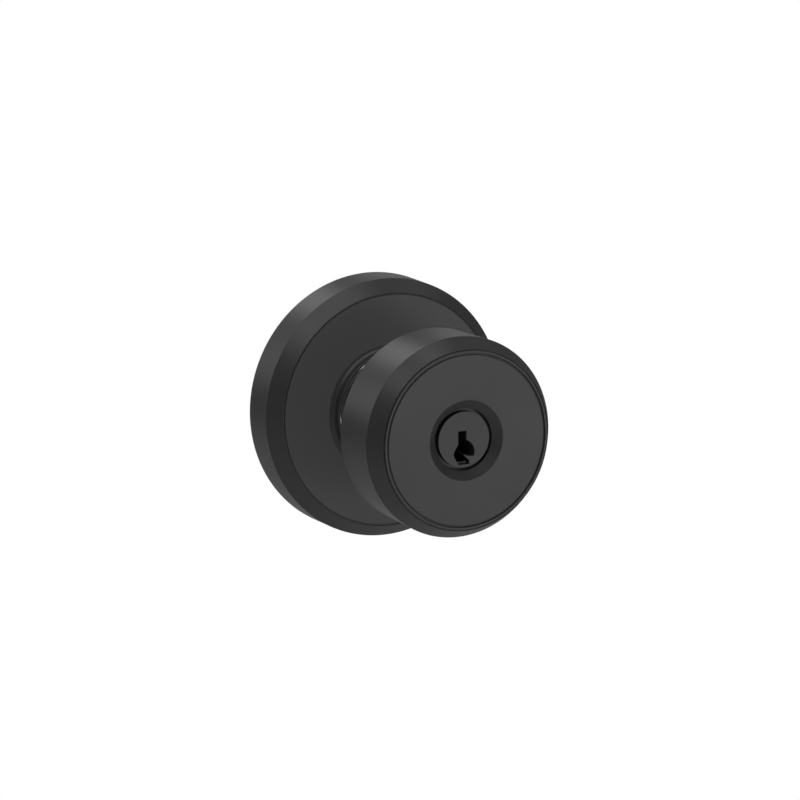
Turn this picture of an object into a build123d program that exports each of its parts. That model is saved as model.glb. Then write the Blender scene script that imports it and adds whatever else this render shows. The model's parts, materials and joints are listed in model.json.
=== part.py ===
"""Keyed entry knob lock: outer knob with key cylinder, inner knob with turn button, and spring latch.

The knobs turn about the Y axis. The outer side faces -Y, and the outer face of the door is the plane
y = 0, so the origin is on the knobs' axis at the back of the outer rose. +Z is up and the latch bolt
leaves the door edge towards +X. Lengths are in millimetres.
"""

from build123d import *
import os
from math import asin, cos, degrees, radians, sin, sqrt

# ---- door that the lock fits ----
door_thickness = 44.5
backset = 60.0
cross_bore_radius = 27.0

# ---- fits ----
running_fit = 0.06
plug_fit = 0.05
sliding_fit = 0.3
seat_fit = 0.1
cut_over = 1.0

# ---- rose ----
rose_radius = 35.3
rose_side_height = 10.3
rose_bevel_width = 3.45
rose_bevel_height = 3.7
rose_wall = 1.2
rose_groove_width = 0.35
rose_groove_depth = 0.35
collar_gap = 1.4
collar_wall = 0.9
collar_height = 2.6
collar_fillet = 1.6
collar_rim_chamfer = 0.5

# ---- knob shell and its face plate ----
knob_rear_radius = 26.5
knob_front_radius = 27.0
knob_rear_y = 37.3
knob_side_length = 16.3
knob_bevel_length = 4.8
knob_bevel_width = 2.7
knob_rear_cone = 3.1
knob_wall = 1.7
knob_edge_chamfer = 0.25
bead_width = 0.75
bead_height = 0.3
bead_groove = 0.25
bead_groove_depth = 0.4
face_gap = 0.35
face_thickness = 2.1
face_seat_width = 1.2
face_rim_height = 1.7
face_edge_chamfer = 0.15
face_over_lip = 0.1
dish_radius = 10.8
dish_hole_gap = 0.92
dish_depth = 1.8
boss_wall = 1.9
boss_length = 6.4
boss_lip = 0.6

# ---- shank, sleeve and bearing on the knobs' axis ----
shank_wall = 1.2
shank_inside_knob = 2.0
shank_into_collar = 1.6
sleeve_radius = 13.3
sleeve_wall = 1.2
sleeve_reach = 26.0
sleeve_flange_width = 1.6
sleeve_end_wall = 1.5
bearing_wall = 1.8
bearing_height = 9.0

# ---- mounting plates and the screws that join them ----
plate_thickness = 2.5
boss_ring_wall = 1.2
boss_ring_height = 4.0
bore_clearance = 0.4
screw_head_gap = 0.14
post_radius = 3.8
post_stake_radius = 3.0
post_end_gap = 8.5
post_thread_depth = 22.0
screw_radius = 1.9
screw_head_radius = 4.0
screw_head_height = 2.6
screw_length = 26.0
screw_slot_width = 1.1
screw_slot_depth = 1.3

# ---- return spring ----
cage_gap = 0.8
cage_wall = 1.2
cage_height = 6.5
return_spring_gap = 2.14
return_wire_radius = 0.7
return_spring_turns = 2
return_spring_pitch = 1.8
return_leg_length = 4.0
drive_plate_thickness = 1.3
lug_depth = 3.1
lug_gap = 1.2
lug_half_width = 2.4
lug_height = 4.6
cage_lug_half_width = 3.0
cage_lug_drop = 1.0

# ---- knob catch ----
catch_radius = 1.6
catch_y = 21.0
catch_ring_wall = 0.5
catch_ring_width = 4.0
catch_ring_space = 0.7
catch_contact_gap = 0.02
catch_foot_half_width = 2.0
catch_recess = 0.2
catch_ring_gap_angle = 60.0

# ---- spindle and tailpiece ----
spindle_radius = 4.0
spindle_bore = 2.3
spindle_flat = 3.0
spindle_head_lip = 1.5
spindle_head_height = 1.5
spindle_overrun = 2.0
tail_width = 3.6
tail_thickness = 1.2

# ---- key cylinder ----
shell_wall = 1.85
plug_radius = 6.35
plug_head_lip = 1.13
plug_head_length = 2.0
plug_head_recess = 1.5
plug_head_gap = 0.2
keyway_end_wall = 1.5
shell_length = 23.8
tower_half_width = 3.9
tower_room = 0.306
cover_thickness = 0.5
cover_half_width = 3.0
cover_overlap = 1.0
pin_count = 5
pin_pitch = 3.96
first_pin = 5.2
pin_radius = 1.42
pin_fit = 0.08
key_pin_point_radius = 0.5
key_pin_point_length = 0.8
key_pin_bottom = 1.2
key_pin_drop = 1.5
pin_spring_length = 2.4
pin_wire_radius = 0.2
pin_spring_turns = 5
plug_neck_radius = 4.5
plug_neck_length = 1.5
cap_lip = 1.05
cap_gap = 0.2
cap_end_wall = 0.8
cap_length = 3.2
support_thickness = 1.5
support_place = 6.5
support_gap = 0.2

# ---- keyway in the plug's face ----
key_slot_left = -1.65
key_slot_right = 0.8
key_slot_top = 2.3
key_bulge_left = -2.95
key_bulge_right = 3.15
key_ward_tip = -0.1
key_leg_right = 1.65
key_bottom = -6.75
key_bottom_left = -1.5
key_neck_z = -1.2
key_neck_right_z = -0.1
key_bulge_left_z = -3.6
key_bulge_right_z = -3.0
key_bulge_low_right = 3.05
key_shelf_z = -4.6
key_shelf_left = 1.5
key_ward_z = -4.05
key_leg_top = -5.8

# ---- turn button ----
button_radius = 7.9
button_base = 2.0
button_grip_width = 4.6
button_grip_height = 13.0
button_grip_length = 7.5
button_grip_round = 2.0
button_edge_round = 0.8
button_rise = 1.6
button_shaft_radius = 3.0
bushing_length = 12.0
bushing_front = 0.4
tail_engagement = 6.0
tail_end_gap = 0.5
button_shaft_overrun = 1.0
bushing_gap = 0.2
clip_radius = 5.5
clip_thickness = 1.0

# ---- latch ----
bolt_throw = 12.7
knob_turn = 70.0
case_radius = 12.3
case_wall = 1.6
case_rear_x = 26.4
backing_thickness = 1.2
backing_width = 23.0
backing_height = 50.0
backing_corner = 4.0
face_plate_thickness = 2.5
face_plate_width = 25.4
face_plate_height = 57.2
face_plate_corner = 6.4
latch_screw_spacing = 41.3
latch_screw_radius = 2.1
latch_screw_head_radius = 4.0
latch_screw_length = 19.0
latch_screw_point_length = 4.0
latch_screw_tip_radius = 0.2
cross_recess_depth = 1.1
cross_recess_width = 0.8
cross_recess_length = 4.2
side_plate_inner = 6.0
side_plate_thickness = 1.2
side_plate_height = 9.9
side_plate_rear = -10.0
side_plate_tab = 3.5
spacer_x = 15.0
spacer_z = 9.0
spacer_radius = 0.6
seat_x = 27.4
seat_thickness = 1.5
bolt_gap = 0.5
bolt_flat = 4.6
bolt_far_side = -8.6
bolt_rear_x = 46.0
bolt_nose = 2.2
bolt_bevel_start = 0.6
heel_length = 2.0
plunger_thickness = 3.5
plunger_reach = 10.0
plunger_rear_x = 55.2
plunger_pocket_radius = 1.4
plunger_pocket_depth = 4.8
plunger_chamfer = 0.6
plunger_inset = 0.1
hub_wall = 1.5
hub_recess = 0.1
arm_thickness = 5.0
arm_half_width = 0.6
arm_tip_radius = 1.0
slide_inner = 4.0
slide_plate = 1.0
slide_height = 8.0
slide_wall = 1.5
ear_bottom = 9.0
ear_top = 11.0
ear_width = 2.5
ear_overlap = 0.5
tail_bar_height = 5.0
tail_bar_thickness = 3.0
bolt_spring_radius = 4.2
bolt_wire_radius = 0.35
bolt_spring_turns = 6
plunger_spring_radius = 1.0
plunger_wire_radius = 0.2
plunger_spring_turns = 7

# ---- values worked out from those above ----
mid_door = door_thickness / 2
post_length = door_thickness - post_end_gap
plate_radius = rose_radius - rose_wall - seat_fit
shank_radius = sleeve_radius + seat_fit + shank_wall
collar_radius = shank_radius + collar_gap + collar_wall
sleeve_flange_radius = sleeve_radius + sleeve_flange_width
rose_height = rose_side_height + rose_bevel_height
rose_face_radius = rose_radius - rose_bevel_width
knob_front_y = knob_rear_y + knob_side_length
face_y = knob_front_y + knob_bevel_length + face_over_lip
face_back_y = face_y - face_thickness
face_radius = knob_front_radius - knob_bevel_width - bead_groove - bead_width - face_gap
plug_front_y = face_y - plug_head_recess
shell_front_y = plug_front_y - plug_head_length - plug_head_gap
shell_rear_y = shell_front_y - shell_length
shell_radius = plug_radius + shell_wall
plug_head_radius = plug_radius + plug_head_lip
dish_hole_radius = plug_head_radius + dish_hole_gap
tower_reach = shank_radius - shank_wall - tower_room
tower_top = sqrt(tower_reach**2 - tower_half_width**2) - cover_thickness
cap_radius = plug_radius + cap_lip
pin_chamber_radius = pin_radius + pin_fit
plug_bore = plug_radius + plug_fit
driver_bottom = plug_bore + plug_fit
driver_top = tower_top - pin_spring_length - 2 * pin_wire_radius
button_front_y = face_y - dish_depth + button_rise
bearing_bore = sleeve_radius + running_fit
bearing_radius = bearing_bore + bearing_wall
post_spacing = 2 * (bearing_radius + screw_head_radius + screw_head_gap)
return_spring_radius = bearing_radius + return_spring_gap + return_wire_radius
lug_inner_radius = return_spring_radius + return_wire_radius + lug_gap
drive_plate_radius = lug_inner_radius + lug_depth
cage_inner_radius = drive_plate_radius + cage_gap
spindle_head_radius = spindle_radius + spindle_head_lip
hub_radius = spindle_radius + hub_wall
hub_half_length = side_plate_inner + side_plate_thickness - hub_recess
half_turn = radians(knob_turn / 2)
arm_reach = bolt_throw / (2 * sin(half_turn))
ear_face_x = arm_reach * sin(half_turn) - arm_tip_radius - sliding_fit
slide_front_x = arm_reach + arm_tip_radius + bolt_throw + sliding_fit
plate_x = backset - face_plate_thickness
tube_front_x = plate_x - backing_thickness
case_bore = case_radius - case_wall
bolt_radius = case_bore - bolt_gap


def turned(points):
    """Solid turned about the Y axis from (radius, y) points."""
    return revolve(make_face(Polyline(*points, close=True)), Axis.Y, 360)


def ring(inner, outer, y0, y1):
    """Plain ring on the knobs' axis."""
    return turned([(inner, y0), (outer, y0), (outer, y1), (inner, y1)])


def block(x0, x1, y0, y1, z0, z1):
    """Box between two corners."""
    middle = Pos((x0 + x1) / 2, (y0 + y1) / 2, (z0 + z1) / 2)
    return middle * Box(abs(x1 - x0), abs(y1 - y0), abs(z1 - z0))


def rod_x(radius, x0, x1, y, z):
    """Round rod along X."""
    return Pos((x0 + x1) / 2, y, z) * Rot(0, 90, 0) * Cylinder(radius, abs(x1 - x0))


def rod_y(radius, y0, y1, x=0.0, z=0.0):
    """Round rod along Y."""
    return Pos(x, (y0 + y1) / 2, z) * Rot(90, 0, 0) * Cylinder(radius, abs(y1 - y0))


def rod_z(radius, z0, z1, x, y):
    """Round rod along Z."""
    return Pos(x, y, (z0 + z1) / 2) * Cylinder(radius, abs(z1 - z0))


def coil(radius, wire_radius, length, turns):
    """Helical spring of round wire about Z, with its wire's centre from z = 0 to z = length."""
    path = Helix(pitch=length / turns, height=length, radius=radius)
    section = Plane(origin=path @ 0, z_dir=path % 0) * Circle(wire_radius)
    return sweep(section, path, is_frenet=True)


def inner_side(shape):
    """The same piece on the inner side of the door."""
    return mirror(shape, about=Plane.XZ.offset(-mid_door))


def save(name, *solids):
    """Write one node. Several solids make a group."""
    shape = solids[0] if len(solids) == 1 else Compound(children=list(solids))
    export_step(shape, "parts/" + name + ".step")


# ---- rose ----
def rose():
    """Drawn cover with a bevelled edge, a fine groove round its face, and a collar round the shank."""
    back_face = -(rose_height - rose_wall)
    inner_radius = rose_radius - rose_wall
    inner_bevel = rose_bevel_width - rose_wall / 2
    groove_inner = rose_face_radius - rose_groove_width
    collar_front = -(rose_height + collar_height)
    collar_inner = collar_radius - collar_wall
    body = turned(
        [
            (inner_radius, 0),
            (rose_radius, 0),
            (rose_radius, -rose_side_height),
            (rose_face_radius, -rose_height),
            (rose_face_radius, -rose_height + rose_groove_depth),
            (groove_inner, -rose_height + rose_groove_depth),
            (groove_inner, -rose_height),
            (collar_radius, -rose_height),
            (collar_radius, collar_front),
            (collar_inner + collar_rim_chamfer, collar_front),
            (collar_inner, collar_front + collar_rim_chamfer),
            (collar_inner, back_face),
            (inner_radius - inner_bevel, back_face),
            (inner_radius, -rose_side_height + rose_wall / 2),
        ]
    )
    foot = body.edges().filter_by(GeomType.CIRCLE)
    foot = [e for e in foot if abs(e.radius - collar_radius) < 1e-6]
    foot = [e for e in foot if abs(e.center().Y + rose_height) < 1e-6]
    return fillet(foot, collar_fillet)


# ---- knob ----
def knob_shell():
    """Hollow knob: tapered side, wide front bevel, bead round the face, coned rear with the shank's hole."""
    lip_outer = knob_front_radius - knob_bevel_width
    bead_outer = lip_outer - bead_groove
    bead_inner = bead_outer - bead_width
    bead_top = -(face_y + bead_height / 2)
    bead_round = bead_height / 2
    seat_radius = bead_inner - face_seat_width
    rear_hub = knob_rear_y - knob_rear_cone
    lip_y = -(knob_front_y + knob_bevel_length)
    return turned(
        [
            (shank_radius, -rear_hub),
            (shank_radius + knob_wall, -rear_hub),
            (knob_rear_radius - 3 * knob_edge_chamfer, -knob_rear_y + knob_edge_chamfer),
            (knob_rear_radius - knob_edge_chamfer, -knob_rear_y + knob_edge_chamfer / 2),
            (knob_rear_radius, -knob_rear_y - knob_edge_chamfer / 2),
            (knob_front_radius, -knob_front_y),
            (lip_outer, lip_y),
            (lip_outer, lip_y + bead_groove_depth),
            (bead_outer, lip_y + bead_groove_depth),
            (bead_outer, bead_top + bead_round),
            (bead_outer - bead_round, bead_top),
            (bead_inner + bead_round, bead_top),
            (bead_inner, bead_top + bead_round),
            (bead_inner, -face_back_y),
            (seat_radius, -face_back_y),
            (seat_radius, -face_back_y + knob_wall),
            (knob_front_radius - knob_wall, -knob_front_y + knob_wall / 2),
            (knob_rear_radius - knob_wall, -knob_rear_y - knob_wall),
            (shank_radius + knob_wall, -rear_hub - knob_wall),
            (shank_radius, -rear_hub - knob_wall),
        ]
    )


def knob_face():
    """Face plate with its dish. The boss behind carries the key cylinder, and its slot the pin tower."""
    rim_radius = face_radius + face_gap - running_fit
    boss_bore = shell_radius + seat_fit
    boss_rear = -face_back_y + boss_length
    plate = turned(
        [
            (dish_hole_radius, -(face_y - dish_depth)),
            (dish_radius, -face_y),
            (face_radius - face_edge_chamfer, -face_y),
            (face_radius, -face_y + face_edge_chamfer),
            (face_radius, -face_back_y - face_rim_height),
            (rim_radius, -face_back_y - face_rim_height),
            (rim_radius, -face_back_y),
            (boss_bore + boss_wall, -face_back_y),
            (boss_bore + boss_wall, boss_rear),
            (boss_bore, boss_rear),
            (boss_bore, -shell_front_y - boss_lip),
            (dish_hole_radius, -shell_front_y - boss_lip),
        ]
    )
    slot_half = tower_half_width + seat_fit
    slot_top = boss_bore + 2 * boss_wall
    slot_rear = boss_rear + cut_over
    return plate - block(-slot_half, slot_half, -shell_front_y - seat_fit, slot_rear, 0, slot_top)


def knob_shank():
    """Tube from the knob to the rose, with a flange inside the knob and a hole for the catch."""
    inner = shank_radius - shank_wall
    front = -(knob_rear_y - knob_rear_cone + knob_wall + shank_inside_knob)
    flange_back = -(knob_rear_y - knob_rear_cone + knob_wall)
    rear = -(rose_height + collar_height - shank_into_collar)
    tube = turned(
        [
            (inner, front),
            (shank_radius + knob_wall, front),
            (shank_radius + knob_wall, flange_back),
            (shank_radius, flange_back),
            (shank_radius, rear),
            (inner, rear),
        ]
    )
    return tube - rod_z(catch_radius + seat_fit, -shank_radius - cut_over, -inner + cut_over, 0, -catch_y)


def half_spindle_hole(y0, y1):
    """Bore for the flatted spindle."""
    clearance = running_fit
    hole = rod_y(spindle_radius + clearance, y0, y1)
    reach = spindle_radius + cut_over
    return hole - block(-reach, reach, y0, y1, spindle_flat + clearance, reach)


def drive_sleeve():
    """Sleeve that carries the knob in the bearing and turns the spindle through its end wall."""
    inner = sleeve_radius - sleeve_wall
    end = sleeve_end_wall
    body = turned(
        [
            (inner, -sleeve_reach),
            (sleeve_radius, -sleeve_reach),
            (sleeve_radius, sliding_fit),
            (sleeve_flange_radius, sliding_fit),
            (sleeve_flange_radius, end),
            (0, end),
            (0, 0),
            (inner, 0),
        ]
    )
    body -= half_spindle_hole(-cut_over, end + cut_over)
    return body - rod_z(catch_radius + seat_fit, -sleeve_radius - cut_over, -inner + cut_over, 0, -catch_y)


def knob_catch():
    """Pin that holds the shank on the sleeve until it is pressed in."""
    ring_outer = sleeve_radius - sleeve_wall - catch_ring_space
    return rod_z(catch_radius, -(shank_radius - catch_recess), -ring_outer, 0, -catch_y)


def catch_spring():
    """Open spring ring inside the sleeve that pushes the catch out. Its foot stands on the sleeve."""
    outer = sleeve_radius - sleeve_wall - catch_ring_space - catch_contact_gap
    y0 = -catch_y - catch_ring_width / 2
    y1 = -catch_y + catch_ring_width / 2
    hoop = ring(outer - catch_ring_wall, outer, y0, y1)
    half_gap = outer * sin(radians(catch_ring_gap_angle / 2))
    hoop -= block(-outer - cut_over, 0, y0, y1, -half_gap, half_gap)
    half = catch_foot_half_width
    foot = block(-half, half, y0, y1, outer - catch_ring_wall / 2, sleeve_radius)
    return hoop + (foot & rod_y(sleeve_radius - sleeve_wall, y0, y1))


# ---- mounting hardware ----
def bearing():
    """Bush in which the sleeve turns."""
    return ring(bearing_bore, bearing_radius, -bearing_height, 0)


def mounting_plate(hole_radius):
    """Round plate on the door with a ring that centres it in the cross bore, and two holes."""
    ring_outer = cross_bore_radius - bore_clearance
    plate = turned(
        [
            (bearing_radius, -plate_thickness),
            (plate_radius, -plate_thickness),
            (plate_radius, 0),
            (ring_outer, 0),
            (ring_outer, boss_ring_height),
            (ring_outer - boss_ring_wall, boss_ring_height),
            (ring_outer - boss_ring_wall, 0),
            (bearing_radius, 0),
        ]
    )
    for side in (-1, 1):
        plate -= rod_y(hole_radius, -plate_thickness - cut_over, cut_over, 0, side * post_spacing / 2)
    return plate


def threaded_post(side):
    """Post staked into the outer plate. The mounting screw threads into its far end."""
    z = side * post_spacing / 2
    post = rod_y(post_radius, 0, post_length, 0, z)
    post += rod_y(post_stake_radius, -plate_thickness, 0, 0, z)
    return post - rod_y(screw_radius, post_length - post_thread_depth, post_length + cut_over, 0, z)


def mounting_screw(side):
    """Slotted pan head screw from the inner plate into the post."""
    z = side * post_spacing / 2
    under_head = door_thickness + plate_thickness
    top = under_head + screw_head_height
    screw = rod_y(screw_radius, under_head - screw_length, under_head, 0, z)
    head = rod_y(screw_head_radius, under_head, top, 0, z)
    head = chamfer(head.faces().sort_by(Axis.Y)[-1].edges(), screw_head_height / 3)
    half = screw_slot_width / 2
    reach = screw_head_radius + cut_over
    slot = block(-reach, reach, top - screw_slot_depth, top + cut_over, z - half, z + half)
    return screw + (head - slot)


def spring_cage():
    """Wall round the return spring, with a lug that holds the spring's fixed end."""
    y0 = -plate_thickness - cage_height
    y1 = -plate_thickness
    wall = ring(cage_inner_radius, cage_inner_radius + cage_wall, y0, y1)
    half = cage_lug_half_width
    lug = block(-half, half, y0 + cage_lug_drop, y1, -cage_inner_radius - cage_wall / 2, -lug_inner_radius)
    return wall + (lug & rod_y(cage_inner_radius + cage_wall / 2, y0, y1))


def leg_angle(half_width):
    """Angle from the vertical at which a spring leg lies against a lug's side."""
    return degrees(asin((half_width + return_wire_radius + seat_fit) / return_spring_radius))


def return_spring():
    """Torsion spring that turns the knob back, with one leg at the cage's lug and one at the drive lug."""
    fixed_angle = leg_angle(cage_lug_half_width) - 90
    moving_angle = 90 - leg_angle(lug_half_width)
    turns = return_spring_turns + (moving_angle - fixed_angle) / 360
    length = turns * return_spring_pitch
    start = -plate_thickness - return_wire_radius - sliding_fit
    body = Rot(0, 0, fixed_angle) * coil(return_spring_radius, return_wire_radius, length, turns)
    for angle, height in ((fixed_angle, 0), (moving_angle, length)):
        leg = Cylinder(return_wire_radius, return_leg_length)
        middle = return_spring_radius + return_leg_length / 2
        body += Rot(0, 0, angle) * Pos(middle, 0, height) * Rot(0, 90, 0) * leg
    return Pos(0, start, 0) * Rot(90, 0, 0) * body


def drive_plate():
    """Disc pressed on the sleeve, with a lug that winds the return spring."""
    y1 = -bearing_height - sliding_fit
    y0 = y1 - drive_plate_thickness
    disc = ring(sleeve_radius, drive_plate_radius, y0, y1)
    lug = ring(lug_inner_radius, drive_plate_radius, y1, y1 + lug_height)
    half = lug_half_width
    lug &= block(-half, half, y1, y1 + lug_height, 0, drive_plate_radius + cut_over)
    return disc + lug


def retaining_ring():
    """Ring that keeps the inner sleeve in its bearing."""
    y1 = -bearing_height - sliding_fit
    return ring(sleeve_radius, bearing_radius, y1 - drive_plate_thickness, y1)


def spindle():
    """Flatted tube that carries the outer knob's turn through the latch hub to the inner knob."""
    rear = door_thickness + spindle_overrun
    body = rod_y(spindle_radius, -spindle_head_height, rear)
    reach = spindle_radius + cut_over
    body -= block(-reach, reach, 0, rear + cut_over, spindle_flat, reach)
    body += rod_y(spindle_head_radius, -spindle_head_height, 0)
    return body - rod_y(spindle_bore, -spindle_head_height - cut_over, rear + cut_over)


# ---- key cylinder ----
def pin_places():
    """Y of each pin chamber."""
    return [-shell_front_y + first_pin + pin_pitch * i for i in range(pin_count)]


def chambers(bottom, top):
    """All the pin chambers as one cutter."""
    return [rod_z(pin_chamber_radius, bottom, top, 0, y) for y in pin_places()]


def cylinder_shell():
    """Round body of the key cylinder with the pin tower on top."""
    y0 = -shell_front_y
    y1 = -shell_rear_y
    body = rod_y(shell_radius, y0, y1)
    body += block(-tower_half_width, tower_half_width, y0, y1, plug_radius, tower_top)
    body -= rod_y(plug_bore, y0 - cut_over, y1 + cut_over)
    for chamber in chambers(plug_radius - cut_over, tower_top + cut_over):
        body -= chamber
    return body


def tower_cover():
    """Strip that closes the pin chambers."""
    places = pin_places()
    y0 = places[0] - pin_chamber_radius - cover_overlap
    y1 = min(places[-1] + pin_chamber_radius + cover_overlap, -shell_rear_y)
    return block(-cover_half_width, cover_half_width, y0, y1, tower_top, tower_top + cover_thickness)


def keyway(y0, y1):
    """Cutter for the key's section: an upright slot with a bulge each side and one ward."""
    left = Spline(
        (key_slot_left, key_neck_z),
        (key_bulge_left, key_bulge_left_z),
        (key_bottom_left, key_bottom),
        tangents=[(-0.5, -1), (0.6, -1)],
    )
    right = Spline(
        (key_slot_right, key_neck_right_z),
        (key_bulge_right, key_bulge_right_z),
        (key_bulge_low_right, key_shelf_z),
    )
    foot = Polyline(
        (key_bottom_left, key_bottom),
        (key_leg_right, key_bottom),
        (key_leg_right, key_leg_top),
        (key_ward_tip, key_ward_z),
        (key_shelf_left, key_shelf_z),
        (key_bulge_low_right, key_shelf_z),
    )
    neck = Polyline(
        (key_slot_right, key_neck_right_z),
        (key_slot_right, key_slot_top),
        (key_slot_left, key_slot_top),
        (key_slot_left, key_neck_z),
    )
    outline = Wire([left.edge(), *foot.edges(), right.edge(), *neck.edges()])
    section = Plane.XZ * make_face(outline)
    return Pos(0, y1, 0) * extrude(section, amount=y1 - y0)


def key_plug():
    """Plug with its wider head, keyway, pin chambers and the neck for the retainer cap."""
    front = -plug_front_y
    head_back = front + plug_head_length
    rear = -shell_rear_y
    plug = rod_y(plug_head_radius, front, head_back)
    plug += rod_y(plug_radius, head_back, rear)
    plug += rod_y(plug_neck_radius, rear, rear + plug_neck_length)
    plug -= keyway(front - cut_over, rear - keyway_end_wall)
    for chamber in chambers(key_pin_bottom - key_pin_drop - sliding_fit, plug_radius + cut_over):
        plug -= chamber
    return plug


def key_pin(y):
    """Pointed pin whose head ends at the plug's surface."""
    tip = key_pin_bottom
    point = key_pin_point_length
    cone = Pos(0, y, tip + point / 2) * Cone(key_pin_point_radius, pin_radius, point)
    pin = cone + rod_z(pin_radius, tip + point, plug_radius, 0, y)
    return pin & rod_y(plug_radius - plug_fit, y - pin_pitch / 2, y + pin_pitch / 2)


def driver_pin(y):
    """Straight pin between the plug's surface and its spring."""
    return rod_z(pin_radius, driver_bottom, driver_top, 0, y)


def pin_spring(y):
    """Small spring on top of a driver pin."""
    bottom = driver_top + pin_wire_radius
    radius = pin_radius - 2 * pin_wire_radius
    return Pos(0, y, bottom) * coil(radius, pin_wire_radius, pin_spring_length, pin_spring_turns)


def plug_cap():
    """Cap that keeps the plug in its shell and the tailpiece on the plug."""
    y0 = -shell_rear_y + cap_gap
    y1 = y0 + cap_length
    return turned(
        [
            (plug_neck_radius, y0),
            (cap_radius, y0),
            (cap_radius, y1),
            (spindle_bore + seat_fit, y1),
            (spindle_bore + seat_fit, y1 - cap_end_wall),
            (plug_neck_radius, y1 - cap_end_wall),
        ]
    )


def tailpiece():
    """Flat bar from the plug through the spindle to the turn button."""
    front = -shell_rear_y + plug_neck_length
    disc_back = -shell_rear_y + cap_gap + cap_length - cap_end_wall
    shaft_rear = face_back_y - bushing_length - clip_thickness - button_shaft_overrun
    rear = door_thickness + shaft_rear + tail_engagement
    half_x = tail_thickness / 2
    half_z = tail_width / 2
    bar = block(-half_x, half_x, front, rear, -half_z, half_z)
    return bar + rod_y(plug_neck_radius - seat_fit, front, disc_back)


def cylinder_support():
    """Plate inside the knob that holds the rear of the key cylinder."""
    y0 = -(knob_rear_y + support_place)
    y1 = y0 + support_thickness
    taper = (knob_front_radius - knob_rear_radius) / knob_side_length
    radius = knob_rear_radius - knob_wall + taper * (support_place - support_thickness) - support_gap
    plate = rod_y(radius, y0, y1)
    plate -= rod_y(shell_radius + seat_fit, y0 - cut_over, y1 + cut_over)
    half = tower_half_width + seat_fit
    return plate - block(-half, half, y0 - cut_over, y1 + cut_over, 0, tower_top + cover_thickness + seat_fit)


# ---- turn button, drawn as on the outer side and mirrored ----
def turn_button():
    """Round base with an upright grip."""
    base_y = -button_front_y
    base = rod_y(button_radius, base_y, base_y + button_base)
    half_x = button_grip_width / 2
    half_z = button_grip_height / 2
    grip = block(-half_x, half_x, base_y - button_grip_length, base_y, -half_z, half_z)
    corners = grip.edges().filter_by(Axis.Y)
    grip = fillet(corners, button_grip_round)
    grip = fillet(grip.faces().sort_by(Axis.Y)[0].edges(), button_edge_round)
    return base + grip


def button_shaft():
    """Shaft behind the button, slotted for the tailpiece."""
    front = -button_front_y + button_base
    rear = -(face_back_y - bushing_length - clip_thickness - button_shaft_overrun)
    shaft = rod_y(button_shaft_radius, front, rear)
    half_x = tail_thickness / 2 + seat_fit
    half_z = tail_width / 2 + seat_fit
    slot_front = rear - tail_engagement - tail_end_gap
    return shaft - block(-half_x, half_x, slot_front, rear + cut_over, -half_z, half_z)


def button_bushing():
    """Bush in the face plate's boss in which the button's shaft turns."""
    front = -(shell_front_y + bushing_front)
    rear = -(face_back_y - bushing_length)
    return ring(button_shaft_radius + running_fit, shell_radius, front, rear)


def button_clip():
    """Clip on the shaft behind the bushing."""
    front = -(face_back_y - bushing_length) + bushing_gap
    return ring(button_shaft_radius, clip_radius, front, front + clip_thickness)


# ---- latch, along X at the middle of the door ----
def latch_round(radius, x0, x1):
    """Round rod on the latch's own axis."""
    return rod_x(radius, x0, x1, mid_door, 0)


def latch_block(x0, x1, y0, y1, z0, z1):
    """Box with y counted from the latch's axis."""
    return block(x0, x1, mid_door + y0, mid_door + y1, z0, z1)


def case_tube():
    """Barrel that fills the bore in the door's edge."""
    return latch_round(case_radius, case_rear_x, tube_front_x) - latch_round(
        case_bore, case_rear_x - cut_over, tube_front_x + cut_over
    )


def bolt_opening(x0, x1):
    """Opening that the bolt and the plunger share."""
    far = bolt_far_side - sliding_fit
    near = bolt_flat + sliding_fit + plunger_thickness + sliding_fit
    reach = bolt_radius + cut_over
    room = latch_round(bolt_radius + sliding_fit, x0, x1)
    return room & latch_block(x0, x1, far, near, -reach, reach)


def plate_outline(width, height, corner, x0, x1):
    """Upright plate with rounded corners."""
    plate = latch_block(x0, x1, -width / 2, width / 2, -height / 2, height / 2)
    return fillet(plate.edges().filter_by(Axis.X), corner)


def screw_cutter(z):
    """Countersunk hole for a latch screw."""
    head = latch_screw_head_radius
    slope = head - latch_screw_radius - seat_fit
    cone = Pos(backset - slope / 2, mid_door, z) * Rot(0, 90, 0)
    cone = cone * Cone(latch_screw_radius + seat_fit, head, slope)
    return cone + rod_x(latch_screw_radius + seat_fit, tube_front_x - cut_over, backset, mid_door, z)


def backing_plate():
    """Plate on the front of the case, under the face plate."""
    plate = plate_outline(backing_width, backing_height, backing_corner, tube_front_x, plate_x)
    plate -= bolt_opening(tube_front_x - cut_over, plate_x + cut_over)
    for side in (-1, 1):
        plate -= screw_cutter(side * latch_screw_spacing / 2)
    return plate


def face_plate():
    """Plate let into the door's edge, with the bolt's opening and two countersunk holes."""
    plate = plate_outline(face_plate_width, face_plate_height, face_plate_corner, plate_x, backset)
    plate -= bolt_opening(plate_x - cut_over, backset + cut_over)
    for side in (-1, 1):
        plate -= screw_cutter(side * latch_screw_spacing / 2)
    return plate


def latch_screw(side):
    """Countersunk wood screw with a cross recess."""
    z = side * latch_screw_spacing / 2
    slope = latch_screw_head_radius - latch_screw_radius - seat_fit
    head = Pos(backset - slope / 2, mid_door, z) * Rot(0, 90, 0)
    head = head * Cone(latch_screw_radius, latch_screw_head_radius - seat_fit, slope)
    point_x = backset - latch_screw_length
    length = latch_screw_point_length
    shank = rod_x(latch_screw_radius, point_x + length, backset - slope, mid_door, z)
    point = Pos(point_x + length / 2, mid_door, z) * Rot(0, 90, 0)
    point = point * Cone(latch_screw_tip_radius, latch_screw_radius, length)
    screw = head + shank + point
    for turn in (0, 90):
        arm = Box(2 * cross_recess_depth, cross_recess_width, cross_recess_length)
        arm = Pos(backset, mid_door, z) * Rot(turn, 0, 0) * arm
        screw -= arm
    return screw


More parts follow.
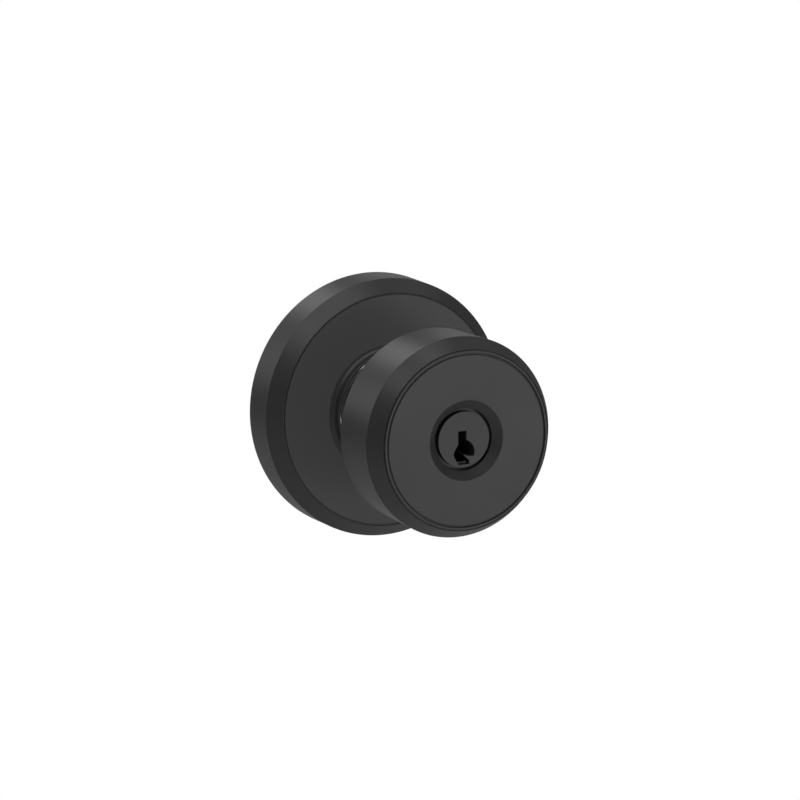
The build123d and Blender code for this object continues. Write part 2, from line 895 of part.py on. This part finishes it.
def side_plate(side):
    """Side of the latch case, with the hub's bearing hole. Its front end stands in the tube."""
    y0 = side * side_plate_inner
    y1 = side * (side_plate_inner + side_plate_thickness)
    high = side_plate_height
    plate = latch_block(side_plate_rear, case_rear_x, min(y0, y1), max(y0, y1), -high, high)
    tab_front = case_rear_x + side_plate_tab
    tab = latch_block(case_rear_x, tab_front, min(y0, y1), max(y0, y1), -high, high)
    plate += tab & latch_round(case_bore, case_rear_x, tab_front)
    plate -= rod_y(hub_radius + running_fit, 0, door_thickness)
    for end in (-1, 1):
        plate -= spacer(end)
    return plate


def spacer(end):
    """Rivet that ties the two side plates."""
    reach = side_plate_inner + side_plate_thickness
    return rod_y(spacer_radius, mid_door - reach, mid_door + reach, spacer_x, end * spacer_z)


def spring_seat():
    """Cross plate between the side plates against which the bolt spring pushes."""
    x1 = seat_x + seat_thickness
    wide = side_plate_inner
    seat = latch_round(case_bore, seat_x, x1) & latch_block(seat_x, x1, -wide, wide, -case_bore, case_bore)
    half_y = tail_bar_thickness / 2 + sliding_fit
    half_z = tail_bar_height / 2 + sliding_fit
    return seat - latch_block(seat_x - cut_over, x1 + cut_over, -half_y, half_y, -half_z, half_z)


def hub():
    """Hub turned by the spindle, with an arm above and below that reaches the slide's ears."""
    y0 = mid_door - hub_half_length
    y1 = mid_door + hub_half_length
    body = rod_y(hub_radius, y0, y1)
    tip_x = arm_reach * sin(half_turn)
    tip_z = arm_reach * cos(half_turn)
    half = arm_thickness / 2
    for side in (-1, 1):
        lean = side * knob_turn / 2
        arm = Pos(0, mid_door, 0) * Rot(0, lean, 0)
        arm = arm * Pos(0, 0, side * arm_reach / 2)
        body += arm * Box(2 * arm_half_width, arm_thickness, arm_reach)
        body += rod_y(arm_tip_radius, mid_door - half, mid_door + half, tip_x, side * tip_z)
    return body - half_spindle_hole(y0 - cut_over, y1 + cut_over)


def retractor_slide():
    """Slide round the hub: two slotted plates, two ears for the hub's arms, and the bolt's tail bar."""
    rear = -hub_radius - sliding_fit - slide_wall
    inner = slide_inner
    outer = slide_inner + slide_plate
    high = slide_height
    slide = latch_block(slide_front_x, slide_front_x + slide_wall, -outer, outer, -high, high)
    slot_half = hub_radius + sliding_fit
    slot = rod_y(slot_half, 0, door_thickness) + rod_y(slot_half, 0, door_thickness, bolt_throw)
    slot += block(0, bolt_throw, 0, door_thickness, -slot_half, slot_half)
    for side in (-1, 1):
        y0 = min(side * inner, side * outer)
        y1 = max(side * inner, side * outer)
        plate = latch_block(rear, slide_front_x, y0, y1, -high, high)
        slide += plate - slot
        for end in (-1, 1):
            z0 = end * (high - ear_overlap)
            slide += latch_block(ear_face_x - ear_width, ear_face_x, y0, y1, z0, end * ear_top)
    for end in (-1, 1):
        x0 = ear_face_x - ear_width
        slide += latch_block(x0, ear_face_x, -outer, outer, end * ear_bottom, end * ear_top)
    half_y = tail_bar_thickness / 2
    half_z = tail_bar_height / 2
    return slide + latch_block(slide_front_x + slide_wall / 2, bolt_rear_x, -half_y, half_y, -half_z, half_z)


def latch_bolt():
    """Bevelled bolt with one flat side for the plunger, and a heel behind the plunger."""
    tip = backset + bolt_throw
    reach = bolt_radius + cut_over
    bolt = latch_round(bolt_radius, bolt_rear_x, tip)
    bolt &= latch_block(bolt_rear_x, tip, bolt_far_side, bolt_flat, -reach, reach)
    heel = latch_round(bolt_radius, bolt_rear_x, bolt_rear_x + heel_length)
    near = bolt_flat + sliding_fit + plunger_thickness
    heel &= latch_block(bolt_rear_x, bolt_rear_x + heel_length, bolt_flat - cut_over, near, -reach, reach)
    far = mid_door + bolt_far_side
    bevel = Polyline(
        (tip + cut_over, mid_door + bolt_flat - bolt_nose),
        (tip, mid_door + bolt_flat - bolt_nose),
        (backset + bolt_bevel_start, far),
        (backset + bolt_bevel_start, far - cut_over),
        (tip + cut_over, far - cut_over),
        close=True,
    )
    cutter = Pos(0, 0, -reach) * extrude(make_face(bevel), amount=2 * reach)
    return bolt - cutter + heel


def plunger_section(x0, x1):
    """Round-backed strip beside the bolt's flat."""
    reach = bolt_radius + cut_over
    near = bolt_flat + sliding_fit
    strip = latch_block(x0, x1, near, near + plunger_thickness, -reach, reach)
    return latch_round(bolt_radius - plunger_inset, x0, x1) & strip


def deadlatch_plunger():
    """Plunger that the strike holds in while the door is shut, with a pocket for its spring."""
    plunger = plunger_section(plunger_rear_x, backset + plunger_reach)
    nose = plunger.faces().sort_by(Axis.X)[-1].edges()
    plunger = chamfer(nose, plunger_chamfer)
    y = mid_door + bolt_flat + sliding_fit + plunger_thickness / 2
    return plunger - rod_x(
        plunger_pocket_radius, plunger_rear_x - cut_over, plunger_rear_x + plunger_pocket_depth, y, 0
    )


def spring_along_x(radius, wire_radius, x0, x1, turns, y):
    """Helical spring along X."""
    length = x1 - x0 - 2 * wire_radius
    return Pos(x0 + wire_radius, y, 0) * Rot(0, 90, 0) * coil(radius, wire_radius, length, turns)


def bolt_spring():
    """Spring round the tail bar that throws the bolt."""
    seat_front = seat_x + seat_thickness
    return spring_along_x(
        bolt_spring_radius, bolt_wire_radius, seat_front, bolt_rear_x, bolt_spring_turns, mid_door
    )


def plunger_spring():
    """Spring between the bolt's heel and the bottom of the plunger's pocket."""
    return spring_along_x(
        plunger_spring_radius,
        plunger_wire_radius,
        bolt_rear_x + heel_length,
        plunger_rear_x + plunger_pocket_depth,
        plunger_spring_turns,
        mid_door + bolt_flat + sliding_fit + plunger_thickness / 2,
    )


os.makedirs("parts", exist_ok=True)

# outer side
save("outer_rose", rose())
save("outer_mounting_plate", mounting_plate(post_stake_radius))
save("mounting_posts", threaded_post(-1), threaded_post(1))
save("outer_bearing", bearing())
save("spring_cage", spring_cage())
save("return_spring", return_spring())
save("outer_knob_shell", knob_shell())
save("outer_knob_face", knob_face())
save("outer_knob_shank", knob_shank())
save("outer_drive_sleeve", drive_sleeve())
save("drive_plate", drive_plate())
save("spindle", spindle())
save("outer_knob_catch", knob_catch())
save("outer_catch_spring", catch_spring())

# key cylinder
save("cylinder_shell", cylinder_shell())
save("cylinder_support_plate", cylinder_support())
save("tower_cover", tower_cover())
save("pin_springs", *[pin_spring(y) for y in pin_places()])
save("driver_pins", *[driver_pin(y) for y in pin_places()])
save("key_pins", *[key_pin(y) for y in pin_places()])
save("key_plug", key_plug())
save("plug_retainer_cap", plug_cap())
save("tailpiece", tailpiece())

# latch
save("latch_case_tube", case_tube())
save("latch_side_plates", side_plate(-1), side_plate(1))
save("latch_spacers", spacer(-1), spacer(1))
save("bolt_spring_seat", spring_seat())
save("latch_backing_plate", backing_plate())
save("latch_face_plate", face_plate())
save("latch_screws", latch_screw(-1), latch_screw(1))
save("latch_hub", hub())
save("retractor_slide", retractor_slide())
save("latch_bolt", latch_bolt())
save("bolt_spring", bolt_spring())
save("deadlatch_plunger", deadlatch_plunger())
save("plunger_spring", plunger_spring())

# inner side
save("inner_rose", inner_side(rose()))
save("inner_mounting_plate", inner_side(mounting_plate(screw_radius + sliding_fit)))
save("mounting_screws", mounting_screw(-1), mounting_screw(1))
save("inner_bearing", inner_side(bearing()))
save("inner_knob_shell", inner_side(knob_shell()))
save("inner_knob_face", inner_side(knob_face()))
save("inner_knob_shank", inner_side(knob_shank()))
save("inner_drive_sleeve", inner_side(drive_sleeve()))
save("inner_retaining_ring", inner_side(retaining_ring()))
save("inner_knob_catch", inner_side(knob_catch()))
save("inner_catch_spring", inner_side(catch_spring()))
save("turn_button", inner_side(turn_button()))
save("button_shaft", inner_side(button_shaft()))
save("button_bushing", inner_side(button_bushing()))
save("button_clip", inner_side(button_clip()))
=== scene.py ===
"""Looks of the keyed entry knob lock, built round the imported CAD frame. Lengths are in metres."""

import json
import math

import bmesh
import bpy
import numpy as np
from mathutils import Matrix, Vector


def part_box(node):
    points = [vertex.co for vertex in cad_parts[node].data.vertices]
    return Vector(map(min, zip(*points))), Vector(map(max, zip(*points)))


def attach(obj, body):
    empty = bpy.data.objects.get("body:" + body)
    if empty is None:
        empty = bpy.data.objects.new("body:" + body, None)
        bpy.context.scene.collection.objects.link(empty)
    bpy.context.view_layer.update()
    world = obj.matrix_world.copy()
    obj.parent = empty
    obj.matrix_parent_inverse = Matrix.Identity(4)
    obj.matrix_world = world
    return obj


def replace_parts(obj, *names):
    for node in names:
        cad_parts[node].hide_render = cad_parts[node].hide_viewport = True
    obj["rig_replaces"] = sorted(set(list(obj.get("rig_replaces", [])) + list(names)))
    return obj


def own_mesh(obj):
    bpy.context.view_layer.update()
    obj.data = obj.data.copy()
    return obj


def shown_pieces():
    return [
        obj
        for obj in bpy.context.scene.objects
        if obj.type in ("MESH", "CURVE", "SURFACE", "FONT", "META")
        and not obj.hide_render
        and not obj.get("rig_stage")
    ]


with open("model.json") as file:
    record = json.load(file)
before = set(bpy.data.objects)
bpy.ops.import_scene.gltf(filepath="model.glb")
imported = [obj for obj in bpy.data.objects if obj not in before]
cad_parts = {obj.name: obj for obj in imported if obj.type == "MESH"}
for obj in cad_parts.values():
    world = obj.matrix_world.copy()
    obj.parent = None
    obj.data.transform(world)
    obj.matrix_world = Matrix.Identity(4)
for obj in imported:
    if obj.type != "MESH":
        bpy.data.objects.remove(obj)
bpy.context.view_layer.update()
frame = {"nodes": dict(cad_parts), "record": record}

NODES = frame["nodes"]
NODE_BODY = {n: b for b, names in frame["record"]["behaviour"]["bodies"].items() for n in names}
NODE_SLOT = {row["node"]: row["material_slot"] for row in frame["record"]["subparts"]}

# ---- how finely the visible pieces are made ----
MM = 0.001
TURNED_STEPS = 240
CORNER_STEPS = 4
CORNER_TURN = math.radians(14)
SAME_POINT = 0.002 * MM
SECTION_ANGLE = math.radians(-101.3)
FLAT_TURN = math.radians(0.5)
BEVEL_TURN = math.radians(28)
BEVEL_SEGMENTS = 2
TURNED_ROUNDING = 0.22 * MM
LONGEST_ROUNDING = 0.4
FLAT_FACE_WEIGHT = 100

# ---- edge rounding of the pieces that aren't turned, in mm ----
ROUNDED_NODES = {
    "outer_knob_face": 0.10,
    "inner_knob_face": 0.10,
    "key_plug": 0.07,
    "turn_button": 0.30,
    "button_bushing": 0.15,
    "outer_knob_shank": 0.12,
    "inner_knob_shank": 0.12,
    "outer_knob_catch": 0.25,
    "inner_knob_catch": 0.25,
    "outer_mounting_plate": 0.20,
    "inner_mounting_plate": 0.20,
    "mounting_posts": 0.25,
    "spindle": 0.10,
    "latch_case_tube": 0.20,
    "latch_side_plates": 0.12,
    "latch_backing_plate": 0.15,
    "latch_face_plate": 0.30,
    "retractor_slide": 0.12,
    "latch_hub": 0.15,
    "latch_bolt": 0.45,
    "deadlatch_plunger": 0.12,
}

# ---- camera: degrees about Z from the knobs' axis, degrees above it, metres from the origin ----
CAMERA_AZIMUTH = -26.4612
CAMERA_ELEVATION = 11.6704
CAMERA_DISTANCE = 1.628
CAMERA_LENS = 270.21
CAMERA_SHIFT = (0.041, 0.0003)
SENSOR_WIDTH = 36
CLIP = (0.05, 50)

# ---- lights: name, azimuth, elevation, size, power, whether it casts shadows, what it lights ----
LIGHT_DISTANCE = 1.3
LIGHTS = [
    ("front_fill", 30, 0, 0.60, 3.1, False, None),
    ("top", -20, 85, 0.55, 2.4, True, None),
    ("top_front", -26, 70, 0.25, 0.6, True, None),
    ("left_upper", -60, 50, 0.55, 2.5, True, None),
    ("left_high", -92, 52, 0.55, 1.0, True, None),
    ("right_high", 90, 50, 0.55, 0.66, True, None),
    ("back_high", 180, 30, 0.40, 1.1, True, None),
    ("back_right", 150, 15, 0.40, 0.3, True, None),
    ("back_left", -150, 15, 0.55, 0.95, True, None),
    ("inner_key", 215, 30, 0.70, 6.0, True, "inner"),
    ("inner_fill", 165, 5, 0.70, 4.0, True, "inner"),
    ("latch_key", 80, 20, 0.60, 4.0, True, "latch"),
]
WORLD_STRENGTH = 0.13

# ---- stage: a wall in the plane of the door's outer face, a floor below the lock and a dome round both ----
WALL_Y = 0.0004
WALL_SIZE = 3.0
FLOOR_Z = -0.3
FLOOR_SIZE = 6.0
DOME_SIZE = 8.5
DOME_STEPS = 4
WHITE = (1, 1, 1)
PALE = (0.86, 0.86, 0.86)
DOME_PALE = (0.93, 0.93, 0.93)
MATTE_ROUGHNESS = 0.8


# ---------------------------------------------------------------- materials
NOISE_SPAN = (0.3, 0.7)
COAT_GRAIN = 6000
COAT_DETAIL = 2.0
COAT_HEIGHT = 0.0005 * MM
COAT_UNEVEN = 0.06
SHEEN_GRAIN = 60
SHEEN_SPREAD = 0.015
PEEL_GRAIN = 1400
PEEL_HEIGHT = 0.0012 * MM
TARNISH_GRAIN = 150
METAL_DETAIL = 4.0
SMOOTHER = 0.07
ROUGHER = 0.09


class Finish:
    """A material's node tree, with short calls that add and join nodes."""

    def __init__(self, name):
        self.material = bpy.data.materials.new(name)
        self.material.use_nodes = True
        self.tree = self.material.node_tree
        self.shader = self.tree.nodes["Principled BSDF"]

    def link(self, source, target):
        self.tree.links.new(source, target)

    def value(self, name, value):
        self.shader.inputs[name].default_value = value

    def noise(self, scale, detail=3.0, stretch=(1, 1, 1)):
        """Noise over object coordinates, squeezed along each axis by stretch."""
        place = self.tree.nodes.new("ShaderNodeTexCoord")
        mapped = self.tree.nodes.new("ShaderNodeMapping")
        mapped.inputs["Scale"].default_value = stretch
        self.link(place.outputs["Object"], mapped.inputs["Vector"])
        node = self.tree.nodes.new("ShaderNodeTexNoise")
        node.inputs["Scale"].default_value = scale
        node.inputs["Detail"].default_value = detail
        self.link(mapped.outputs["Vector"], node.inputs["Vector"])
        return node.outputs["Fac"]

    def spread(self, source, low, high):
        """Map noise to low..high."""
        node = self.tree.nodes.new("ShaderNodeMapRange")
        self.link(source, node.inputs["Value"])
        for key, value in zip(("From Min", "From Max", "To Min", "To Max"), (*NOISE_SPAN, low, high)):
            node.inputs[key].default_value = value
        return node.outputs["Result"]

    def colours(self, source, dark, light):
        node = self.tree.nodes.new("ShaderNodeValToRGB")
        for element, place, colour in zip(node.color_ramp.elements, NOISE_SPAN, (dark, light)):
            element.position = place
            element.color = (*colour, 1)
        self.link(source, node.inputs["Fac"])
        return node.outputs["Color"]

    def bump(self, source, height, under=None):
        node = self.tree.nodes.new("ShaderNodeBump")
        node.inputs["Distance"].default_value = height
        self.link(source, node.inputs["Height"])
        if under is not None:
            self.link(under, node.inputs["Normal"])
        return node.outputs["Normal"]


def coat_tones(tone):
    """Darkest and lightest grey of the coat's grain."""
    return (tone * (1 - COAT_UNEVEN),) * 3, (tone * (1 + COAT_UNEVEN),) * 3


def black_coat(name, tone, rough):
    """Matte black powder coat: fine grain, a slight orange peel and a slightly uneven sheen."""
    f = Finish(name)
    grain = f.noise(COAT_GRAIN, COAT_DETAIL)
    f.link(f.colours(grain, *coat_tones(tone)), f.shader.inputs["Base Color"])
    sheen = f.spread(f.noise(SHEEN_GRAIN), rough - SHEEN_SPREAD, rough + SHEEN_SPREAD)
    f.link(sheen, f.shader.inputs["Roughness"])
    peel = f.bump(f.noise(PEEL_GRAIN, COAT_DETAIL), PEEL_HEIGHT)
    f.link(f.bump(grain, COAT_HEIGHT, peel), f.shader.inputs["Normal"])
    return f.material


def dipped(name, tone, rough, brass, edge):
    """Brass part whose front end is coated black, from the y of the coat's edge forwards."""
    f = Finish(name)
    place = f.tree.nodes.new("ShaderNodeTexCoord")
    split = f.tree.nodes.new("ShaderNodeSeparateXYZ")
    f.link(place.outputs["Object"], split.inputs[0])
    bare = f.tree.nodes.new("ShaderNodeMath")
    bare.operation = "GREATER_THAN"
    bare.inputs[1].default_value = edge
    f.link(split.outputs["Y"], bare.inputs[0])
    grain = f.noise(COAT_GRAIN, COAT_DETAIL)
    mix = f.tree.nodes.new("ShaderNodeMix")
    mix.data_type = "RGBA"
    f.link(bare.outputs[0], mix.inputs[0])
    f.link(f.colours(grain, *coat_tones(tone)), mix.inputs[6])
    f.link(f.colours(f.noise(TARNISH_GRAIN, METAL_DETAIL), *brass), mix.inputs[7])
    f.link(mix.outputs[2], f.shader.inputs["Base Color"])
    f.link(bare.outputs[0], f.shader.inputs["Metallic"])
    sheen = f.spread(f.noise(SHEEN_GRAIN), rough - SHEEN_SPREAD, rough + SHEEN_SPREAD)
    f.link(sheen, f.shader.inputs["Roughness"])
    f.link(f.bump(grain, COAT_HEIGHT), f.shader.inputs["Normal"])
    return f.material


def metal(name, dark, light, rough, grain, height, stretch=(1, 1, 1)):
    """Bare metal with tarnish, a grain along one direction and fine scratches."""
    f = Finish(name)
    lines = f.noise(grain, METAL_DETAIL, stretch)
    f.link(f.colours(f.noise(TARNISH_GRAIN, METAL_DETAIL), dark, light), f.shader.inputs["Base Color"])
    f.link(f.spread(lines, rough - SMOOTHER, rough + ROUGHER), f.shader.inputs["Roughness"])
    f.link(f.bump(lines, height * MM), f.shader.inputs["Normal"])
    f.value("Metallic", 1.0)
    return f.material


BRASS_TONES = ((0.60, 0.42, 0.17), (0.76, 0.57, 0.27))
COAT_TONE = 0.036
COAT_ROUGHNESS = 0.42
# Painted shade: a near-black tone, darker than the coat, for the cylinder body's front so the gap round the
# key plug looks shaded
PAINTED_GAP_SHADE_TONE = 0.008
COAT_EDGE = -0.030

MATERIALS = {
    "black_finish": black_coat("black_powder_coat", COAT_TONE, COAT_ROUGHNESS),
    "black_plug": dipped("black_plug_coat", COAT_TONE, COAT_ROUGHNESS, BRASS_TONES, COAT_EDGE),
    "brass": metal("machined_brass", *BRASS_TONES, 0.28, 600, 0.003, (1, 8, 1)),
    "spring_steel": metal("drawn_spring_wire", (0.28, 0.28, 0.30), (0.42, 0.42, 0.44), 0.30, 1500, 0.002),
    "die_cast_zinc": metal("cast_zinc", (0.46, 0.45, 0.43), (0.60, 0.59, 0.57), 0.36, 900, 0.006),
    "zinc_plated_steel": metal("zinc_plate", (0.54, 0.55, 0.56), (0.64, 0.65, 0.66), 0.36, 2600, 0.0015),
}


def paint(obj, slot):
    """Give a piece its slot's material."""
    obj.data.materials.clear()
    obj.data.materials.append(MATERIALS[slot])


# ---------------------------------------------------------------- pieces made from CAD nodes
def welded(node):
    """A CAD node's mesh with its split edges joined up."""
    bm = bmesh.new()
    bm.from_mesh(NODES[node].data)
    bmesh.ops.remove_doubles(bm, verts=bm.verts, dist=SAME_POINT)
    return bm


def outline_of(node, angle):
    """Closed outline of a turned CAD node, cut by a half plane from the Y axis, as (radius, y) points."""
    bm = welded(node)
    across = Vector((-math.sin(angle), 0, math.cos(angle)))
    out = Vector((math.cos(angle), 0, math.sin(angle)))

    def is_cut(edge):
        a, b = (v.co for v in edge.verts)
        return (a.dot(across) > 0) != (b.dot(across) > 0) and (a + b).dot(out) > 0

    cut = [e for e in bm.edges if is_cut(e)]
    edge, face, points = cut[0], cut[0].link_faces[0], []
    while True:
        places = [Vector((math.hypot(v.co.x, v.co.z), v.co.y)) for v in edge.verts]
        if (places[0] - places[1]).length < SAME_POINT:
            points.append(places[0])
        edge = next(e for e in face.edges if e is not edge and e in cut)
        face = next(f for f in edge.link_faces if f is not face)
        if edge is cut[0]:
            bm.free()
            return points


def rounded(points, radius):
    """The outline with an arc at each corner, smaller where the sides beside it are short."""
    made = []
    for i, here in enumerate(points):
        before, after = points[i - 1] - here, points[(i + 1) % len(points)] - here
        turn = math.pi - before.angle(after)
        if turn < CORNER_TURN:
            made.append(here)
            continue
        limit = LONGEST_ROUNDING * min(before.length, after.length)
        reach = min(radius * math.tan(turn / 2), limit)
        start, end = here + before.normalized() * reach, here + after.normalized() * reach
        for k in range(CORNER_STEPS + 1):
            t = k / CORNER_STEPS
            bow = 2 * t * (1 - t)
            weight = bow * math.cos(turn / 2) + (1 - t) ** 2 + t ** 2
            arc = start * (1 - t) ** 2 + here * (bow * math.cos(turn / 2)) + end * t ** 2
            made.append(arc / weight)
    return made


def add_object(name, mesh):
    obj = bpy.data.objects.new(name, mesh)
    bpy.context.scene.collection.objects.link(obj)
    return obj


def settle(obj):
    """Apply the object's modifiers to its mesh."""
    bpy.context.view_layer.update()
    done = bpy.data.meshes.new_from_object(obj.evaluated_get(bpy.context.evaluated_depsgraph_get()))
    obj.modifiers.clear()
    obj.data = done


def finish_piece(obj, node):
    """Shade a piece smooth over its rounded edges, and put it in place of its CAD node."""
    obj.data.polygons.foreach_set("use_smooth", [True] * len(obj.data.polygons))
    weighted = obj.modifiers.new("weighted", "WEIGHTED_NORMAL")
    weighted.weight = FLAT_FACE_WEIGHT
    weighted.mode = "FACE_AREA"
    settle(obj)
    slot = NODE_SLOT[node]
    paint(obj, slot)
    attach(obj, NODE_BODY[node])
    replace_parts(obj, node)


def turned_mesh(name, points):
    """Mesh turned about the Y axis from a closed outline."""
    count = len(points)
    angles = np.arange(TURNED_STEPS) * (2 * math.pi / TURNED_STEPS)
    r, y = np.array(points).T
    co = np.stack(
        [np.outer(np.cos(angles), r), np.tile(y, (TURNED_STEPS, 1)), np.outer(np.sin(angles), r)], axis=-1
    ).reshape(-1, 3)
    faces = []
    for i in range(TURNED_STEPS):
        here, ahead = i * count, (i + 1) % TURNED_STEPS * count
        for j in range(count):
            k = (j + 1) % count
            faces.append((here + j, here + k, ahead + k, ahead + j))
    mesh = bpy.data.meshes.new(name)
    mesh.from_pydata(co.tolist(), [], faces)
    bm = bmesh.new()
    bm.from_mesh(mesh)
    bmesh.ops.recalc_face_normals(bm, faces=bm.faces)
    bm.to_mesh(mesh)
    bm.free()
    return mesh


def turned_piece(node, radius):
    """Turned piece with softened edges that stands for a CAD node."""
    name = node + "_finished"
    obj = add_object(name, turned_mesh(name, rounded(outline_of(node, SECTION_ANGLE), radius)))
    finish_piece(obj, node)


def refined_piece(node, radius):
    """Copy of a CAD node with its flat faces made whole and its edges rounded."""
    name = node + "_finished"
    bm = welded(node)
    bmesh.ops.dissolve_limit(bm, angle_limit=FLAT_TURN, verts=bm.verts, edges=bm.edges, delimit=set())
    mesh = bpy.data.meshes.new(name)
    bm.to_mesh(mesh)
    bm.free()
    obj = add_object(name, mesh)
    bevel = obj.modifiers.new("bevel", "BEVEL")
    bevel.width = radius
    bevel.segments = BEVEL_SEGMENTS
    bevel.limit_method = "ANGLE"
    bevel.angle_limit = BEVEL_TURN
    bevel.use_clamp_overlap = True
    finish_piece(obj, node)


# The cylinder body's front gets painted shade, a near-black coat that darkens the gap between the key plug
# and the knob face; behind the coat's edge it is brass
NODES["cylinder_shell"].data.materials[0] = dipped(
    "cylinder_body_painted_shade", PAINTED_GAP_SHADE_TONE, COAT_ROUGHNESS, BRASS_TONES, COAT_EDGE
)

for side in ("outer", "inner"):
    turned_piece(side + "_rose", TURNED_ROUNDING)
    turned_piece(side + "_knob_shell", TURNED_ROUNDING)

for node, radius in ROUNDED_NODES.items():
    refined_piece(node, radius * MM)


def sprung_piece(node, axis, fixed):
    """Copy of a spring that stands for its CAD node and moves with its joint's body. Its length stays as it
    is.
    """
    low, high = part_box(node)
    anchor = (low + high) / 2
    anchor[axis] = fixed
    mesh = NODES[node].data.copy()
    mesh.name = node + "_finished"
    obj = add_object(mesh.name, mesh)
    paint(obj, NODE_SLOT[node])
    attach(obj, NODE_BODY[node])
    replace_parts(obj, node)
    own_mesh(obj)


for joint in frame["record"]["behaviour"]["joints"]:
    for row in joint.get("deforming_nodes", []):
        if row["mode"].startswith("scale"):
            letter = row["mode"][-1]
            fixed = row["fixed_end_" + letter + "_m"]
            sprung_piece(row["node"], "xyz".index(letter), fixed)


# ---------------------------------------------------------------- stage, lights and camera
def direction(azimuth, elevation):
    """Unit vector from the object towards a place round it, 0 degrees being straight in front."""
    a, e = math.radians(azimuth), math.radians(elevation)
    return Vector((math.sin(a) * math.cos(e), -math.cos(a) * math.cos(e), math.sin(e)))


def glow(name, colour, one_sided=False):
    """Even glow for the floor and backdrop. A one-sided one is clear from behind."""
    material = bpy.data.materials.new(name)
    material.use_nodes = True
    nodes, links = material.node_tree.nodes, material.node_tree.links
    nodes.clear()
    out = nodes.new("ShaderNodeOutputMaterial")
    light = nodes.new("ShaderNodeEmission")
    light.inputs["Color"].default_value = (*colour, 1)
    shader = light.outputs[0]
    if one_sided:
        clear = nodes.new("ShaderNodeBsdfTransparent")
        side = nodes.new("ShaderNodeNewGeometry")
        mix = nodes.new("ShaderNodeMixShader")
        links.new(side.outputs["Backfacing"], mix.inputs[0])
        links.new(shader, mix.inputs[1])
        links.new(clear.outputs[0], mix.inputs[2])
        shader = mix.outputs[0]
    links.new(shader, out.inputs["Surface"])
    return material


def matte(name, colour):
    """Plain matte surface that throws light back up at the object."""
    material = bpy.data.materials.new(name)
    material.use_nodes = True
    shader = material.node_tree.nodes["Principled BSDF"]
    shader.inputs["Base Color"].default_value = (*colour, 1)
    shader.inputs["Roughness"].default_value = MATTE_ROUGHNESS
    return material


def sheet(name, corners, material):
    mesh = bpy.data.meshes.new(name)
    mesh.from_pydata(corners, [], [tuple(range(len(corners)))])
    mesh.materials.append(material)
    obj = add_object(name, mesh)
    obj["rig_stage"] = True
    return obj


def camera_only(obj):
    for ray in ("diffuse", "glossy", "transmission", "shadow", "volume_scatter"):
        setattr(obj, "visible_" + ray, False)


wall = sheet(
    "backdrop_wall",
    [
        (-WALL_SIZE, WALL_Y, FLOOR_Z),
        (WALL_SIZE, WALL_Y, FLOOR_Z),
        (WALL_SIZE, WALL_Y, WALL_SIZE),
        (-WALL_SIZE, WALL_Y, WALL_SIZE),
    ],
    glow("backdrop_white", WHITE, one_sided=True),
)
camera_only(wall)

floor_corners = [
    (-FLOOR_SIZE, -FLOOR_SIZE, FLOOR_Z),
    (FLOOR_SIZE, -FLOOR_SIZE, FLOOR_Z),
    (FLOOR_SIZE, FLOOR_SIZE, FLOOR_Z),
    (-FLOOR_SIZE, FLOOR_SIZE, FLOOR_Z),
]
floor = sheet(
    "floor",
    floor_corners,
    glow("floor_pale", PALE),
)
camera_only(floor)

bounce_corners = [(x, y, FLOOR_Z - MM) for x, y, z in floor_corners]
bounce = sheet("floor_bounce", bounce_corners, matte("floor_matte", PALE))
bounce.visible_camera = False

sky = bpy.data.meshes.new("backdrop_dome")
bm = bmesh.new()
bmesh.ops.create_icosphere(bm, subdivisions=DOME_STEPS, radius=DOME_SIZE)
bm.to_mesh(sky)
bm.free()
sky.materials.append(glow("dome_pale", DOME_PALE))
dome = add_object("backdrop_dome", sky)
dome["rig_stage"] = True
camera_only(dome)

world = bpy.data.worlds.new("studio")
world.use_nodes = True
world.node_tree.nodes["Background"].inputs["Color"].default_value = (*WHITE, 1)
world.node_tree.nodes["Background"].inputs["Strength"].default_value = WORLD_STRENGTH
bpy.context.scene.world = world

LIT_GROUPS = {"inner": [], "latch": []}
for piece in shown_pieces():
    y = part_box(piece["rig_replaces"][0] if "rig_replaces" in piece else piece.name)
    if y[1].y > 0:
        LIT_GROUPS["inner"].append(piece)
    if y[0].y > 0 and y[1].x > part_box("latch_case_tube")[0].x and y[0].x > 0:
        LIT_GROUPS["latch"].append(piece)

for name, azimuth, elevation, size, power, shadow, group in LIGHTS:
    lamp = bpy.data.lights.new(name, "AREA")
    lamp.shape = "SQUARE"
    lamp.size = size
    lamp.energy = power
    lamp.use_shadow = shadow
    holder = bpy.data.objects.new(name, lamp)
    bpy.context.scene.collection.objects.link(holder)
    back = direction(azimuth, elevation)
    holder.location = back * LIGHT_DISTANCE
    holder.rotation_euler = back.to_track_quat("Z", "Y").to_euler()
    if group:
        lit = bpy.data.collections.new(name + "_lights")
        for piece in LIT_GROUPS[group]:
            lit.objects.link(piece)
        holder.light_linking.receiver_collection = lit

camera = bpy.data.cameras.new("camera")
camera.lens = CAMERA_LENS
camera.sensor_width = SENSOR_WIDTH
camera.shift_x, camera.shift_y = CAMERA_SHIFT
camera.clip_start, camera.clip_end = CLIP
eye = bpy.data.objects.new("camera", camera)
bpy.context.scene.collection.objects.link(eye)
towards = direction(CAMERA_AZIMUTH, CAMERA_ELEVATION)
eye.location = towards * CAMERA_DISTANCE
eye.rotation_euler = towards.to_track_quat("Z", "Y").to_euler()
bpy.context.scene.camera = eye
bpy.context.scene.view_settings.view_transform = "Standard"
